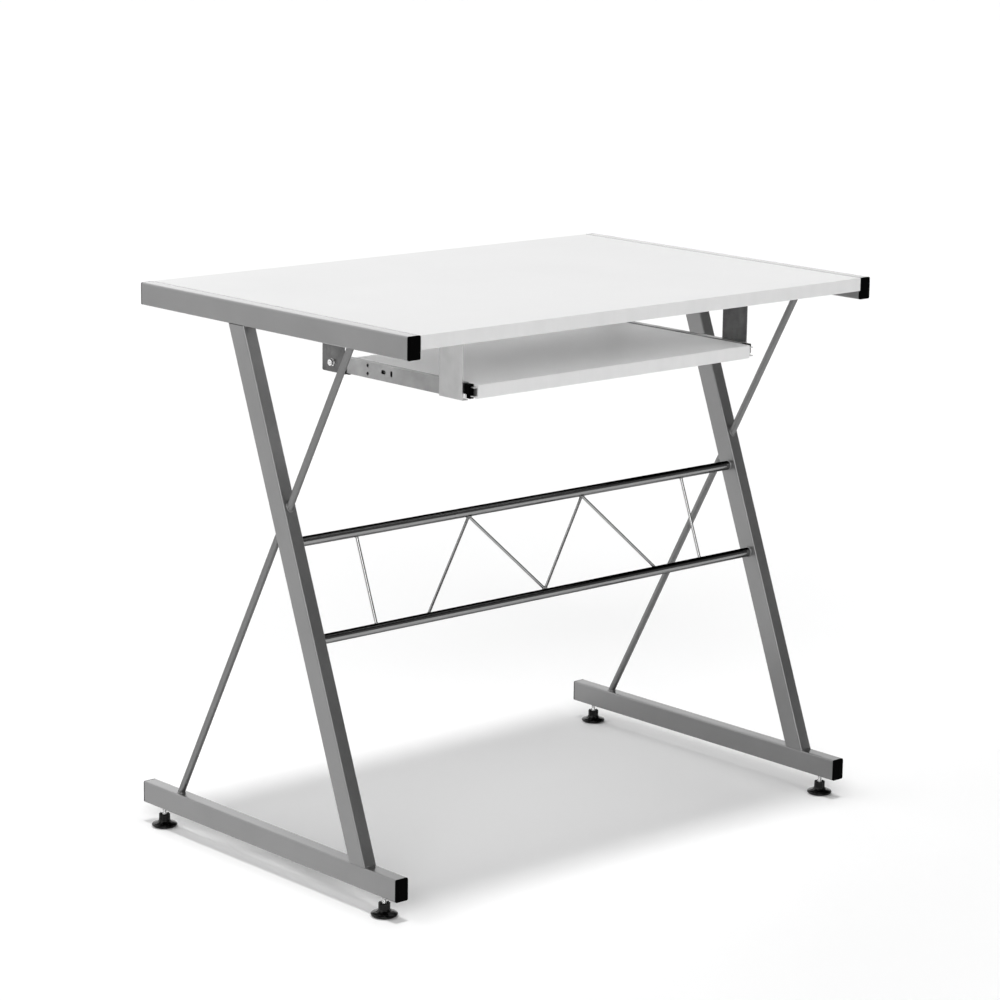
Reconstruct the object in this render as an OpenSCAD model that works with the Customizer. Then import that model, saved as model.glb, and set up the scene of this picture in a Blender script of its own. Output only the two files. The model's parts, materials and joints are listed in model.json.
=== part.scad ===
// Computer desk: two Z-shaped steel side frames, a braced cross panel, a laminated desktop
// and a keyboard tray that slides out on ball-bearing slides.
// Millimetres. +X is the user's right, +Y the rear, +Z up.
// The origin is on the floor, under the middle of the whole desk.

/* [Desktop] */
// Overall width, over the two side frames
desk_w = 830; // [780:10:900]
// Depth of the desktop and of the top rails with their end caps
desk_d = 550; // [530:10:580]
// Height of the desktop above the floor
desk_h = 750; // [740:5:770]
// Thickness of the laminated panels
board_t = 18; // [16:1:19]
// Thickness of the plastic edge bands
band_t = 1; // [0.5:0.5:2]

/* [Side frames] */
// Tall side of the rectangular tube
tube_h = 30; // [28:1:32]
// Narrow side of the rectangular tube
tube_w = 20; // [19:1:22]
// Wall thickness of the rectangular tube
tube_wall = 1.2; // [1:0.1:1.5]
// Outside corner radius of the rectangular tube
tube_r = 2; // [1.5:0.25:3]
// Length of a floor rail with its end caps
floor_rail_len = 540; // [520:10:560]
// How far the floor rails sit behind the desktop, centre to centre
floor_rail_shift = 10; // [0:5:20]
// Leg centre under the top rail, behind the desktop's centre
leg_top_y = 68; // [60:1:75]
// Leg centre on the floor rail, behind that rail's centre
leg_foot_y = -191.5; // [-200:0.5:-180]
// Diameter of the round brace rods
rod_d = 9.5; // [8:0.5:12]
// Brace centre under the top rail, behind the desktop's centre
rod_top_y = -153; // [-160:1:-145]
// Brace centre on the floor rail, behind that rail's centre
rod_foot_y = 196; // [185:1:200]

/* [End caps] */
// Thickness of the cap that covers a tube's end
cap_t = 2.5; // [2:0.5:4]
// Length of the plug that is pushed into the tube
plug_len = 14; // [10:1:20]

/* [Cross panel] */
// Diameter of the two cross bars
bar_d = 13; // [12:0.5:15]
// Height of the upper bar's centre
upper_bar_z = 449; // [440:1:460]
// Height of the lower bar's centre
lower_bar_z = 329; // [320:1:340]
// Diameter of the steel wire between the bars
wire_d = 4; // [3:0.5:5]
// Distance of each straight strut from the desk's middle
strut_x = 298; // [280:2:320]
// Width of one leg of the zigzag wire
zigzag_pitch = 104; // [95:1:110]

/* [Keyboard tray] */
// Width of the tray board
tray_w = 492; // [470:2:520]
// Depth of the tray board
tray_d = 250; // [240:5:260]
// Height of the tray's top surface
tray_top_z = 663.5; // [661:0.5:665]
// Front edge of the tray and its slides, from the desktop's centre
tray_front_y = -212; // [-230:1:-200]

/* [Slides] */
// Length of each slide's inner member
slide_len = 300; // [300:10:320]
// Height of the slide's outer member
slide_h = 21; // [20:0.5:24]
// Width of a closed slide, from bracket to tray
slide_t = 10; // [10:0.5:11]
// Height of the slide's centre line
slide_z = 654.5; // [653:0.5:657]
// How far the tray pulls out
tray_travel = 220; // [180:10:220]

/* [Brackets] */
// Width of a tray bracket
bracket_w = 45; // [43:1:47]
// Thickness of the bracket steel
bracket_t = 1.5; // [1.2:0.1:2]
// Front edge of the front brackets, from the desktop's centre
front_bracket_y = -195; // [-200:1:-190]
// Front edge of the rear brackets, from the desktop's centre
rear_bracket_y = 41; // [38:1:42]
// Gap between a bracket's bottom lip and the slide
lip_gap = 0.9; // [0.5:0.1:2]

/* [Levelling feet] */
// Height of the floor rails above the floor
foot_h = 28; // [26:1:32]
// Widest diameter of a foot
foot_d = 35; // [32:1:38]
// Distance of each foot from its rail's end
foot_inset = 35; // [30:1:45]
// Nominal diameter of the foot's threaded stud
stud_d = 6; // [6:1:8]
// Top of the stud above the floor
stud_top_z = 48; // [44:1:50]

/* [Hidden] */

$fn = 48;
corner_steps = 5;
LEFT = -1;
RIGHT = 1;
FRONT = -1;
REAR = 1;

// Places along Y: the desk's box is centred on the origin.
desktop_y = (desk_d - floor_rail_len) / 4 - floor_rail_shift / 2;
floor_rail_y = desktop_y + floor_rail_shift;

// Side frame levels and lines.
frame_x = (desk_w - tube_w) / 2;
inner_x = desk_w / 2 - tube_w;
top_rail_z = desk_h - tube_h;
floor_rail_top_z = foot_h + tube_h;
frame_gap = top_rail_z - floor_rail_top_z;
panel_w = 2 * inner_x;
board_z = desk_h - board_t;

leg_top = desktop_y + leg_top_y;
leg_foot = floor_rail_y + leg_foot_y;
rod_top = desktop_y + rod_top_y;
rod_foot = floor_rail_y + rod_foot_y;
leg_rake = atan2(leg_top - leg_foot, frame_gap);
rod_rake = atan2(rod_top - rod_foot, frame_gap);

// Cross panel, in the plane of the two legs.
bar_wall = 1;
bar_bore_r = bar_d / 2 - bar_wall;
upper_bar_y = leg_y(upper_bar_z);
lower_bar_y = leg_y(lower_bar_z);
panel_span = norm([upper_bar_y - lower_bar_y, upper_bar_z - lower_bar_z]);
panel_tilt = atan2(upper_bar_y - lower_bar_y, upper_bar_z - lower_bar_z);
weld_sink = 0.5;
low_bend_z = bar_d / 2 + wire_d / 2 - weld_sink;
high_bend_z = panel_span - low_bend_z;
bend_rise = high_bend_z - low_bend_z;

// Desktop fixings.
tab_leg = 25;
tab_w = 30;
tab_t = 2;
tab_spots = [-205, 205];
wood_screw_d = 4;
wood_screw_len = 12;
screw_head_d = 8;
screw_head_t = 2.2;
slot_w = 1;

// Slides and brackets, measured outwards from the tray's side edge.
slide_in_x = tray_w / 2;
slide_out_x = slide_in_x + slide_t;
slide_y = desktop_y + tray_front_y;
outer_start = front_bracket_y - tray_front_y;
steel_t = 1.2;
lip_drop = 1.2;
lip_end = 1;
ball_d = 2.4;
ball_gap = 0.3;
race_z = slide_h / 2 - steel_t - ball_gap - ball_d / 2;
inner_h = 2 * (race_z - ball_d / 2 - ball_gap);
inner_depth = slide_t - 3.4;
cage_t = 0.8;
cage_back = 1.9;
cage_end_gap = 1;
cage_start = outer_start + tray_travel / 2 + cage_end_gap;
cage_len = slide_len - tray_travel - outer_start - 3 * cage_end_gap;
cage_balls = 5;
ball_x = slide_t - 5.2;
stretch_len = 9;
stop_inset = 7;
stop_len = 8.5;
stop_h = 18.6;
stop_gap = 0.2;
bumper_t = 2.6;
bumper_len = 3.5;
bumper_h = 6;
clip_len = 8;
clip_h = 6;
clip_t = 1.2;
flange_w = 20;
lip_w = 8;
bracket_z = slide_z - slide_h / 2 - lip_gap - bracket_t;
bracket_h = board_z - bracket_z;
bend_r = 2;
bracket_screw_gap = 28;
slide_bolt_d = 5;
slide_bolt_y = rear_bracket_y + 24;
slide_bolt_z = slide_z + 0.6;
slide_nut_w = 8;
slide_nut_t = 4;
slide_washer_d = 10;
slide_washer_t = 1;
slide_head_d = 9;
slide_head_t = 2;

// Tray fixings.
tray_screw_d = 3.5;
tray_screw_len = 14;
tray_screw_head_d = 6;
tray_screw_head_t = 1.6;
tray_screw_spots = [22, 122, 222];

// Levelling feet.
pad_h = 18.5;
stud_r = stud_d / 2;
stud_seat_z = 4;
nut_t = 5;
nut_w = 10;
thread_clear = 0.05;
foot_hole_r = stud_r + 1;

// Centre line of a leg at height z.
function leg_y(z) = leg_foot + (leg_top - leg_foot) * (z - floor_rail_top_z) / frame_gap;

// Corners of a rectangle with rounded corners, centred on the origin.
function rounded_points(w, h, r) = [
    for (q = [0:3])
        for (i = [0:corner_steps])
            let (a = 90 * q + 90 * i / corner_steps)
            let (cx = (q == 0 || q == 3 ? 1 : -1) * (w / 2 - r))
            let (cy = (q < 2 ? 1 : -1) * (h / 2 - r))
            [cx + r * cos(a), cy + r * sin(a)]
];

// Points of an arc, in order, for an outline.
function arc_points(cx, cy, r, from, to) = [
    for (i = [0:corner_steps])
        let (a = from + (to - from) * i / corner_steps)
        [cx + r * cos(a), cy + r * sin(a)]
];

module rounded_rect(w, h, r) polygon(rounded_points(w, h, r));

// The rectangular tube's section, with its narrow side along X.
module tube_section() {
    difference() {
        rounded_rect(tube_w, tube_h, tube_r);
        rounded_rect(tube_w - 2 * tube_wall, tube_h - 2 * tube_wall, tube_r - tube_wall);
    }
}

// Lays a section, drawn in XY, along the Y axis, starting at y and going to the rear.
module along_y(y, length) translate([0, y + length, 0]) rotate([90, 0, 0]) linear_extrude(length) children();

// Lays a cylinder along the X axis, starting at x.
module rod_x(x, length, r) translate([x, 0, 0]) rotate([0, 90, 0]) cylinder(h = length, r = r);

// Puts a shape, drawn about the Z axis, on a raked line between the rails of one side frame.
module raked(side, y_top, y_foot, rake) {
    translate([side * frame_x, (y_top + y_foot) / 2, (top_rail_z + floor_rail_top_z) / 2])
        rotate([-rake, 0, 0]) children();
}

module on_leg(side) raked(side, leg_top, leg_foot, leg_rake) children();

// Mirrors the right-hand side's shape for the left.
module on_side(side) mirror([side == LEFT ? 1 : 0, 0, 0]) children();

// Everything between the floor rail and the top rail.
module frame_slab() {
    translate([-desk_w, -desk_d, floor_rail_top_z]) cube([2 * desk_w, 2 * desk_d, frame_gap]);
}

// ---- Desktop ----

module edge_band(width, y, side, z) {
    r = min(band_t, 1);
    translate([-width / 2, y, z]) rotate([90, 0, 90]) linear_extrude(width)
        polygon(concat(
            [[0, board_t], [0, 0]],
            side == REAR ? arc_points(band_t - r, r, r, -90, 0) : arc_points(r - band_t, r, r, 270, 180),
            side == REAR ? arc_points(band_t - r, board_t - r, r, 0, 90)
                : arc_points(r - band_t, board_t - r, r, 180, 90)
        ));
}

module desktop_board() color("white") difference() {
    translate([-panel_w / 2, desktop_y - desk_d / 2 + band_t, board_z])
        cube([panel_w, desk_d - 2 * band_t, board_t]);
    at_desktop_screws() cylinder(h = wood_screw_len, r = wood_screw_d / 2);
    at_bracket_screws() cylinder(h = wood_screw_len, r = wood_screw_d / 2);
}

module desktop_edge_band(side) color("whitesmoke")
    edge_band(panel_w, desktop_y + side * (desk_d / 2 - band_t), side, board_z);

module desktop_front_edge_band() desktop_edge_band(FRONT);
module desktop_rear_edge_band() desktop_edge_band(REAR);

// ---- Side frames ----

module top_rail(side) color("darkgray")
    translate([side * frame_x, 0, desk_h - tube_h / 2])
        along_y(desktop_y - desk_d / 2 + cap_t, desk_d - 2 * cap_t) tube_section();

module floor_rail(side) color("darkgray") difference() {
    translate([side * frame_x, 0, foot_h + tube_h / 2])
        along_y(floor_rail_y - floor_rail_len / 2 + cap_t, floor_rail_len - 2 * cap_t) tube_section();
    for (end = [FRONT, REAR])
        translate([side * frame_x, foot_y(end), foot_h - 1]) cylinder(h = 1 + 2 * tube_wall, r = foot_hole_r);
}

module leg(side) color("darkgray") intersection() {
    on_leg(side) linear_extrude(2 * frame_gap, center = true) tube_section();
    frame_slab();
}

module brace(side, upper) color("darkgray") difference() {
    intersection() {
        raked(side, rod_top, rod_foot, rod_rake) cylinder(h = 2 * frame_gap, r = rod_d / 2, center = true);
        frame_slab();
    }
    on_leg(side) translate([-tube_w, upper ? -tube_h / 2 : tube_h / 2 - desk_d, -desk_h])
        cube([2 * tube_w, desk_d, 2 * desk_h]);
}

module left_top_rail() top_rail(LEFT);
module right_top_rail() top_rail(RIGHT);
module left_floor_rail() floor_rail(LEFT);
module right_floor_rail() floor_rail(RIGHT);
module left_leg() leg(LEFT);
module right_leg() leg(RIGHT);
module left_upper_brace() brace(LEFT, true);
module left_lower_brace() brace(LEFT, false);
module right_upper_brace() brace(RIGHT, true);
module right_lower_brace() brace(RIGHT, false);

// ---- End caps ----

// A push-in cap drawn for a tube that lies along +Y from the origin.
module end_cap() color([0.06, 0.06, 0.06]) {
    bevel = 0.6;
    plug_wall = 1.6;
    plug_gap = 0.15;
    plug_w = tube_w - 2 * (tube_wall + plug_gap);
    plug_h = tube_h - 2 * (tube_wall + plug_gap);
    along_y(-cap_t, bevel) rounded_rect(tube_w - 2 * bevel, tube_h - 2 * bevel, tube_r);
    along_y(bevel - cap_t, cap_t - bevel) rounded_rect(tube_w, tube_h, tube_r);
    along_y(0, plug_len) difference() {
        rounded_rect(plug_w, plug_h, 1);
        rounded_rect(plug_w - 2 * plug_wall, plug_h - 2 * plug_wall, 1);
    }
}

module cap_at(side, end, y_mid, length, z_mid) {
    translate([side * frame_x, y_mid + end * (length / 2 - cap_t), z_mid])
        mirror([0, end == REAR ? 1 : 0, 0]) end_cap();
}

module top_cap(side, end) cap_at(side, end, desktop_y, desk_d, desk_h - tube_h / 2);
module floor_cap(side, end) cap_at(side, end, floor_rail_y, floor_rail_len, foot_h + tube_h / 2);

module left_top_front_cap() top_cap(LEFT, FRONT);
module left_top_rear_cap() top_cap(LEFT, REAR);
module right_top_front_cap() top_cap(RIGHT, FRONT);
module right_top_rear_cap() top_cap(RIGHT, REAR);
module left_floor_front_cap() floor_cap(LEFT, FRONT);
module left_floor_rear_cap() floor_cap(LEFT, REAR);
module right_floor_front_cap() floor_cap(RIGHT, FRONT);
module right_floor_rear_cap() floor_cap(RIGHT, REAR);

// ---- Cross panel ----

module bar_cylinders(r) {
    for (bar = [[upper_bar_y, upper_bar_z], [lower_bar_y, lower_bar_z]])
        translate([0, bar[0], bar[1]]) rod_x(-inner_x, panel_w, r);
}

module cross_bar(y, z) color("gray") translate([0, y, z]) difference() {
    rod_x(-inner_x, panel_w, bar_d / 2);
    rod_x(-desk_w / 2, desk_w, bar_bore_r);
}

module upper_cross_bar() cross_bar(upper_bar_y, upper_bar_z);
module lower_cross_bar() cross_bar(lower_bar_y, lower_bar_z);

// Turns the XZ plane into the panel's plane, with the origin on the lower bar's axis.
module in_panel() translate([0, lower_bar_y, lower_bar_z]) rotate([-panel_tilt, 0, 0]) children();

// A straight wire between two points of the panel's plane.
module wire_run(from, to) {
    run = to - from;
    translate([from[0], 0, from[1]]) rotate([0, atan2(run[0], run[1]), 0])
        cylinder(h = norm(run), r = wire_d / 2, $fn = 24);
}

module strut(side) color("darkgray") difference() {
    in_panel() wire_run([side * strut_x, 0], [side * strut_x, panel_span]);
    bar_cylinders(bar_d / 2);
}

module left_strut() strut(LEFT);
module right_strut() strut(RIGHT);

// One slanting run of the zigzag, between two of its columns, cut on the mitre at each.
module zigzag_run(column) {
    rises = column % 2 == 0;
    intersection() {
        wire_run(
            [(column - 1) * zigzag_pitch, rises ? low_bend_z - bend_rise : high_bend_z + bend_rise],
            [(column + 2) * zigzag_pitch, rises ? high_bend_z + bend_rise : low_bend_z - bend_rise]
        );
        translate([column * zigzag_pitch, -wire_d, -panel_span])
            cube([zigzag_pitch, 2 * wire_d, 3 * panel_span]);
    }
}

// One bent wire, welded to the lower bar at its ends and to both bars at its bends.
module zigzag_wire() color("darkgray") difference() {
    in_panel() for (column = [-2:1]) zigzag_run(column);
    bar_cylinders(bar_d / 2);
}

// ---- Desktop fixings ----

// Repeats a shape at each tab's screw, on the desktop's underside.
module at_desktop_screws() {
    for (side = [LEFT, RIGHT]) for (y = tab_spots)
        translate([side * (inner_x - tab_leg * 0.6), desktop_y + y, board_z]) children();
}

// An angle tab welded to the top rail's inner face, under the board.
module desktop_tabs() color("darkgray") for (side = [LEFT, RIGHT]) for (y = tab_spots) on_side(side) {
    drop = board_z - top_rail_z - tab_t / 2;
    difference() {
        translate([0, desktop_y + y - tab_w / 2, 0]) {
            translate([inner_x - tab_leg, 0, board_z - tab_t]) cube([tab_leg, tab_w, tab_t]);
            translate([inner_x - tab_t, 0, board_z - drop]) cube([tab_t, tab_w, drop]);
        }
        translate([inner_x - tab_leg * 0.6, desktop_y + y, board_z - 2 * tab_t])
            cylinder(h = 2 * tab_t, r = wood_screw_d / 2);
    }
}

// A cross-slotted pan-head screw that goes up from the origin, through a plate of the given thickness.
module wood_screw(plate) color("silver") difference() {
    union() {
        translate([0, 0, -plate]) cylinder(h = plate + wood_screw_len, r = wood_screw_d / 2);
        translate([0, 0, -plate - screw_head_t]) cylinder(h = screw_head_t, r = screw_head_d / 2);
    }
    for (turn = [0, 90])
        translate([0, 0, -plate - screw_head_t]) rotate([0, 0, turn])
            cube([screw_head_d * 0.6, slot_w, screw_head_t], center = true);
}

module desktop_screws() at_desktop_screws() wood_screw(tab_t);

// ---- Tray brackets and slides ----

// Repeats a shape at each bracket's two screws, on the desktop's underside.
module at_bracket_screws() {
    for (side = [LEFT, RIGHT])
        for (y = [front_bracket_y, rear_bracket_y])
            for (step = [-1, 1])
                translate([
                    side * (slide_out_x + bracket_t + flange_w / 2 + 1),
                    desktop_y + y + bracket_w / 2 + step * bracket_screw_gap / 2,
                    board_z
                ]) children();
}

// The bent bracket: a flange under the desktop, an upright and a lip under the slide.
module bracket_section() {
    h = bracket_h;
    t = bracket_t;
    polygon(concat(
        [[-lip_w, 0]],
        arc_points(t - bend_r, bend_r, bend_r, 270, 360),
        [[t, h - t], [t + flange_w, h - t], [t + flange_w, h], [bend_r, h]],
        arc_points(bend_r, h - bend_r, bend_r, 90, 180),
        [[0, t], [-lip_w, t]]
    ));
}

module bracket(side, y, bolted) color("silver") on_side(side) difference() {
    translate([slide_out_x, 0, bracket_z]) along_y(desktop_y + y, bracket_w) bracket_section();
    at_bracket_screws()
        translate([0, 0, -2 * bracket_t]) cylinder(h = 2 * bracket_t, r = wood_screw_d / 2);
    if (bolted) slide_bolt_hole();
}

// The hole for the right-hand slide bolt, through the slide's web and the bracket.
module slide_bolt_hole() {
    translate([0, desktop_y + slide_bolt_y, slide_bolt_z])
        rod_x(slide_out_x - 2 * steel_t, 2 * steel_t + 2 * bracket_t, slide_bolt_d / 2);
}

module left_front_bracket() bracket(LEFT, front_bracket_y, false);
module left_rear_bracket() bracket(LEFT, rear_bracket_y, true);
module right_front_bracket() bracket(RIGHT, front_bracket_y, false);
module right_rear_bracket() bracket(RIGHT, rear_bracket_y, true);

module bracket_screws() at_bracket_screws() wood_screw(bracket_t);

// A bolt through each rear bracket and slide, with a washer and a hexagon nut outside.
module slide_bolts() color("silver") for (side = [LEFT, RIGHT]) on_side(side)
    translate([0, desktop_y + slide_bolt_y, slide_bolt_z]) {
        face = slide_out_x + bracket_t;
        shank = steel_t + bracket_t + slide_washer_t + slide_nut_t + 1;
        rod_x(slide_out_x - steel_t, shank, slide_bolt_d / 2);
        rod_x(slide_out_x - steel_t - slide_head_t, slide_head_t, slide_head_d / 2);
        rod_x(face, slide_washer_t, slide_washer_d / 2);
        translate([face + slide_washer_t, 0, 0]) rotate([0, 90, 0]) rotate([0, 0, 15])
            cylinder(h = slide_nut_t, d = slide_nut_w / cos(30), $fn = 6);
    }

// A slot through the slide's web: an obround of the given length along Y and height along Z.
module web_slot(length, height) {
    r = min(length, height) / 2;
    dy = max(length - height, 0) / 2;
    dz = max(height - length, 0) / 2;
    for (s = [-1, 1]) translate([0, s * dy, s * dz]) rod_x(slide_in_x, 2 * slide_t, r);
    if (dy + dz > 0)
        translate([slide_in_x, dz > 0 ? -r : -dy, dz > 0 ? -dz : -r])
            cube([2 * slide_t, dz > 0 ? 2 * r : 2 * dy, dz > 0 ? 2 * dz : 2 * r]);
}

// The outer member: a C channel whose open side, with small ball-retaining lips, faces the tray.
module slide_outer(side) color("silver") on_side(side) {
    h = slide_h / 2;
    t = steel_t;
    lip_x = lip_end;
    difference() {
        translate([slide_in_x, 0, slide_z]) along_y(slide_y + outer_start, slide_len - outer_start) polygon([
            [slide_t, -h], [slide_t, h], [lip_x, h], [lip_x, h - t - lip_drop],
            [lip_x + t, h - t - lip_drop], [lip_x + t, h - t], [slide_t - t, h - t],
            [slide_t - t, t - h], [lip_x + t, t - h], [lip_x + t, t + lip_drop - h],
            [lip_x, t + lip_drop - h], [lip_x, -h]
        ]);
        translate([0, slide_y, slide_z]) {
            for (dz = [-4.9, 6.1]) translate([0, 206, dz]) web_slot(4.6, 4.6);
            translate([0, 174, 1.4]) web_slot(stretch_len, 5.5);
            translate([0, 158, 1.2]) web_slot(4.4, 8);
        }
        slide_bolt_hole();
    }
}

module inner_section() {
    h = inner_h / 2;
    t = steel_t;
    polygon([
        [0, -h], [inner_depth, -h], [inner_depth, t - h], [t, t - h],
        [t, h - t], [inner_depth, h - t], [inner_depth, h], [0, h]
    ]);
}

// The inner member: a narrower C channel, fixed to the tray's side edge.
module slide_inner(side) color("silver") on_side(side) difference() {
    translate([slide_in_x, 0, slide_z]) along_y(slide_y, slide_len) inner_section();
    at_tray_screws() rod_x(-1, 2 * steel_t + 1, tray_screw_d / 2);
}

// A moulded stop pushed over the front end of the inner member, stepped to clear the buffer.
module slide_stop(side) color([0.06, 0.06, 0.06]) on_side(side)
    translate([slide_in_x, 0, slide_z]) along_y(slide_y + stop_inset, stop_len) difference() {
        translate([steel_t, -stop_h / 2]) square([slide_t - stop_gap - steel_t, stop_h]);
        inner_section();
        translate([slide_t - bumper_t - stop_gap, -slide_h])
            square([slide_t, slide_h / 2 + 1 + bumper_h + stop_gap]);
    }

// A small white buffer on the lower front corner of the outer member.
module slide_bumper(side) color("white") on_side(side)
    translate([slide_out_x - bumper_t, slide_y + outer_start - bumper_len, slide_z - slide_h / 2 + 1])
        cube([bumper_t, bumper_len, bumper_h]);

// A small black clip that holds the outer member's lower edge, just ahead of the rear bracket.
module slide_clip(side) color([0.06, 0.06, 0.06]) on_side(side)
    translate([slide_out_x, desktop_y + rear_bracket_y - 2, slide_z - slide_h / 2]) {
        translate([-2 * clip_t, -clip_len, -clip_t]) cube([3 * clip_t, clip_len, clip_t]);
        translate([0, -clip_t, -clip_t]) cube([clip_t, clip_t, clip_h + clip_t]);
    }

// The ball cage: a thin folded strip that carries the balls half as far as the tray moves.
module ball_cage(side) color("gray") on_side(side) {
    back_x = slide_t - cage_back;
    arm_x = ball_x - ball_d / 2 - cage_t;
    y0 = slide_y + cage_start;
    pitch = cage_len / cage_balls;
    difference() {
        translate([slide_in_x, 0, slide_z]) along_y(y0, cage_len) polygon([
            [back_x, -race_z - cage_t / 2], [back_x, race_z + cage_t / 2],
            [arm_x, race_z + cage_t / 2], [arm_x, race_z - cage_t / 2],
            [back_x - cage_t, race_z - cage_t / 2], [back_x - cage_t, cage_t / 2 - race_z],
            [arm_x, cage_t / 2 - race_z], [arm_x, -race_z - cage_t / 2]
        ]);
        at_balls(y0, pitch) cylinder(h = 2 * cage_t, r = ball_d / 2 + 0.1, center = true);
    }
    at_balls(y0, pitch) sphere(r = ball_d / 2, $fn = 24);
}

module at_balls(y0, pitch) {
    for (i = [0:cage_balls - 1]) for (s = [-1, 1])
        translate([slide_in_x + ball_x, y0 + pitch * (i + 0.5), slide_z + s * race_z]) children();
}

module left_slide_outer() slide_outer(LEFT);
module right_slide_outer() slide_outer(RIGHT);
module left_slide_inner() slide_inner(LEFT);
module right_slide_inner() slide_inner(RIGHT);
module left_slide_stop() slide_stop(LEFT);
module right_slide_stop() slide_stop(RIGHT);
module left_slide_bumper() slide_bumper(LEFT);
module right_slide_bumper() slide_bumper(RIGHT);
module left_slide_clip() slide_clip(LEFT);
module right_slide_clip() slide_clip(RIGHT);
module left_ball_cage() ball_cage(LEFT);
module right_ball_cage() ball_cage(RIGHT);

// ---- Keyboard tray ----

// Repeats a shape at each screw of the right-hand side, on the tray's side edge.
module at_tray_screws() {
    for (y = tray_screw_spots) translate([slide_in_x, slide_y + y, slide_z]) children();
}

module tray_screw_hole() rod_x(-tray_screw_len, tray_screw_len, tray_screw_d / 2);

module tray_board() color("white") difference() {
    translate([-tray_w / 2, slide_y + band_t, tray_top_z - board_t])
        cube([tray_w, tray_d - 2 * band_t, board_t]);
    for (side = [LEFT, RIGHT]) on_side(side) at_tray_screws() tray_screw_hole();
}

module tray_edge_band(side) color("whitesmoke")
    edge_band(tray_w, slide_y + tray_d / 2 + side * (tray_d / 2 - band_t), side, tray_top_z - board_t);

module tray_front_edge_band() tray_edge_band(FRONT);
module tray_rear_edge_band() tray_edge_band(REAR);

module tray_screws() color("silver") for (side = [LEFT, RIGHT]) on_side(side) at_tray_screws() {
    rod_x(-tray_screw_len, tray_screw_len + steel_t, tray_screw_d / 2);
    rod_x(steel_t, tray_screw_head_t, tray_screw_head_d / 2);
}

// ---- Levelling feet ----

function foot_y(end) = floor_rail_y + end * (floor_rail_len / 2 - foot_inset);

module at_foot(side, end) translate([side * frame_x, foot_y(end), 0]) children();

// A bell-shaped pad: a narrow neck over a wide skirt that tucks in where it meets the floor.
module foot_pad() color([0.06, 0.06, 0.06]) {
    r = foot_d / 2;
    neck_r = 7.6;
    skirt_z = 3.2;
    shoulder_z = 6;
    shoulder_r = r - 4.8;
    sweep_r = shoulder_r - neck_r;
    rotate_extrude() polygon(concat(
        [[0, 0], [r - 3.5, 0], [r - 1.1, 1.2]],
        arc_points(r - 1.6, skirt_z, 1.6, -20, 60),
        arc_points(shoulder_r, shoulder_z + sweep_r, sweep_r, 270, 180),
        [[neck_r - 0.4, pad_h - 1], [neck_r - 1.2, pad_h]],
        [[stud_r, pad_h], [stud_r, stud_seat_z], [0, stud_seat_z]]
    ));
}

// The threaded stud, as a plain rod of the thread's outside diameter with a chamfered tip.
module foot_stud() color("silver") {
    chamfer = 0.8;
    translate([0, 0, stud_seat_z]) cylinder(h = stud_top_z - stud_seat_z - chamfer, r = stud_r);
    translate([0, 0, stud_top_z - chamfer]) cylinder(h = chamfer, r1 = stud_r, r2 = stud_r - chamfer);
}

// Nuts welded inside the floor rails, which the studs turn in.
module foot_nuts() color("silver") for (side = [LEFT, RIGHT]) for (end = [FRONT, REAR]) at_foot(side, end)
    translate([0, 0, foot_h + tube_wall]) difference() {
        cylinder(h = nut_t, d = nut_w / cos(30), $fn = 6);
        translate([0, 0, -1]) cylinder(h = nut_t + 2, r = stud_r + thread_clear);
    }

module left_front_foot_pad() at_foot(LEFT, FRONT) foot_pad();
module left_rear_foot_pad() at_foot(LEFT, REAR) foot_pad();
module right_front_foot_pad() at_foot(RIGHT, FRONT) foot_pad();
module right_rear_foot_pad() at_foot(RIGHT, REAR) foot_pad();
module left_front_foot_stud() at_foot(LEFT, FRONT) foot_stud();
module left_rear_foot_stud() at_foot(LEFT, REAR) foot_stud();
module right_front_foot_stud() at_foot(RIGHT, FRONT) foot_stud();
module right_rear_foot_stud() at_foot(RIGHT, REAR) foot_stud();

desktop_board();
desktop_front_edge_band();
desktop_rear_edge_band();
left_top_rail();
right_top_rail();
left_floor_rail();
right_floor_rail();
left_leg();
right_leg();
left_upper_brace();
left_lower_brace();
right_upper_brace();
right_lower_brace();
left_top_front_cap();
left_top_rear_cap();
right_top_front_cap();
right_top_rear_cap();
left_floor_front_cap();
left_floor_rear_cap();
right_floor_front_cap();
right_floor_rear_cap();
upper_cross_bar();
lower_cross_bar();
left_strut();
right_strut();
zigzag_wire();
desktop_tabs();
desktop_screws();
left_front_bracket();
left_rear_bracket();
right_front_bracket();
right_rear_bracket();
bracket_screws();
slide_bolts();
left_slide_outer();
right_slide_outer();
left_ball_cage();
right_ball_cage();
left_slide_inner();
right_slide_inner();
left_slide_stop();
right_slide_stop();
left_slide_bumper();
right_slide_bumper();
left_slide_clip();
right_slide_clip();
tray_board();
tray_front_edge_band();
tray_rear_edge_band();
tray_screws();
foot_nuts();
left_front_foot_pad();
left_rear_foot_pad();
right_front_foot_pad();
right_rear_foot_pad();
left_front_foot_stud();
left_rear_foot_stud();
right_front_foot_stud();
right_rear_foot_stud();
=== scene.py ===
"""Looks for the computer desk with keyboard tray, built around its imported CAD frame.

Metres, +X to the right, +Y to the rear, +Z up, origin on the floor under the middle of the desk.
"""
import json
import math

import bmesh
import bpy
from mathutils import Matrix, Vector, noise

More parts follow.
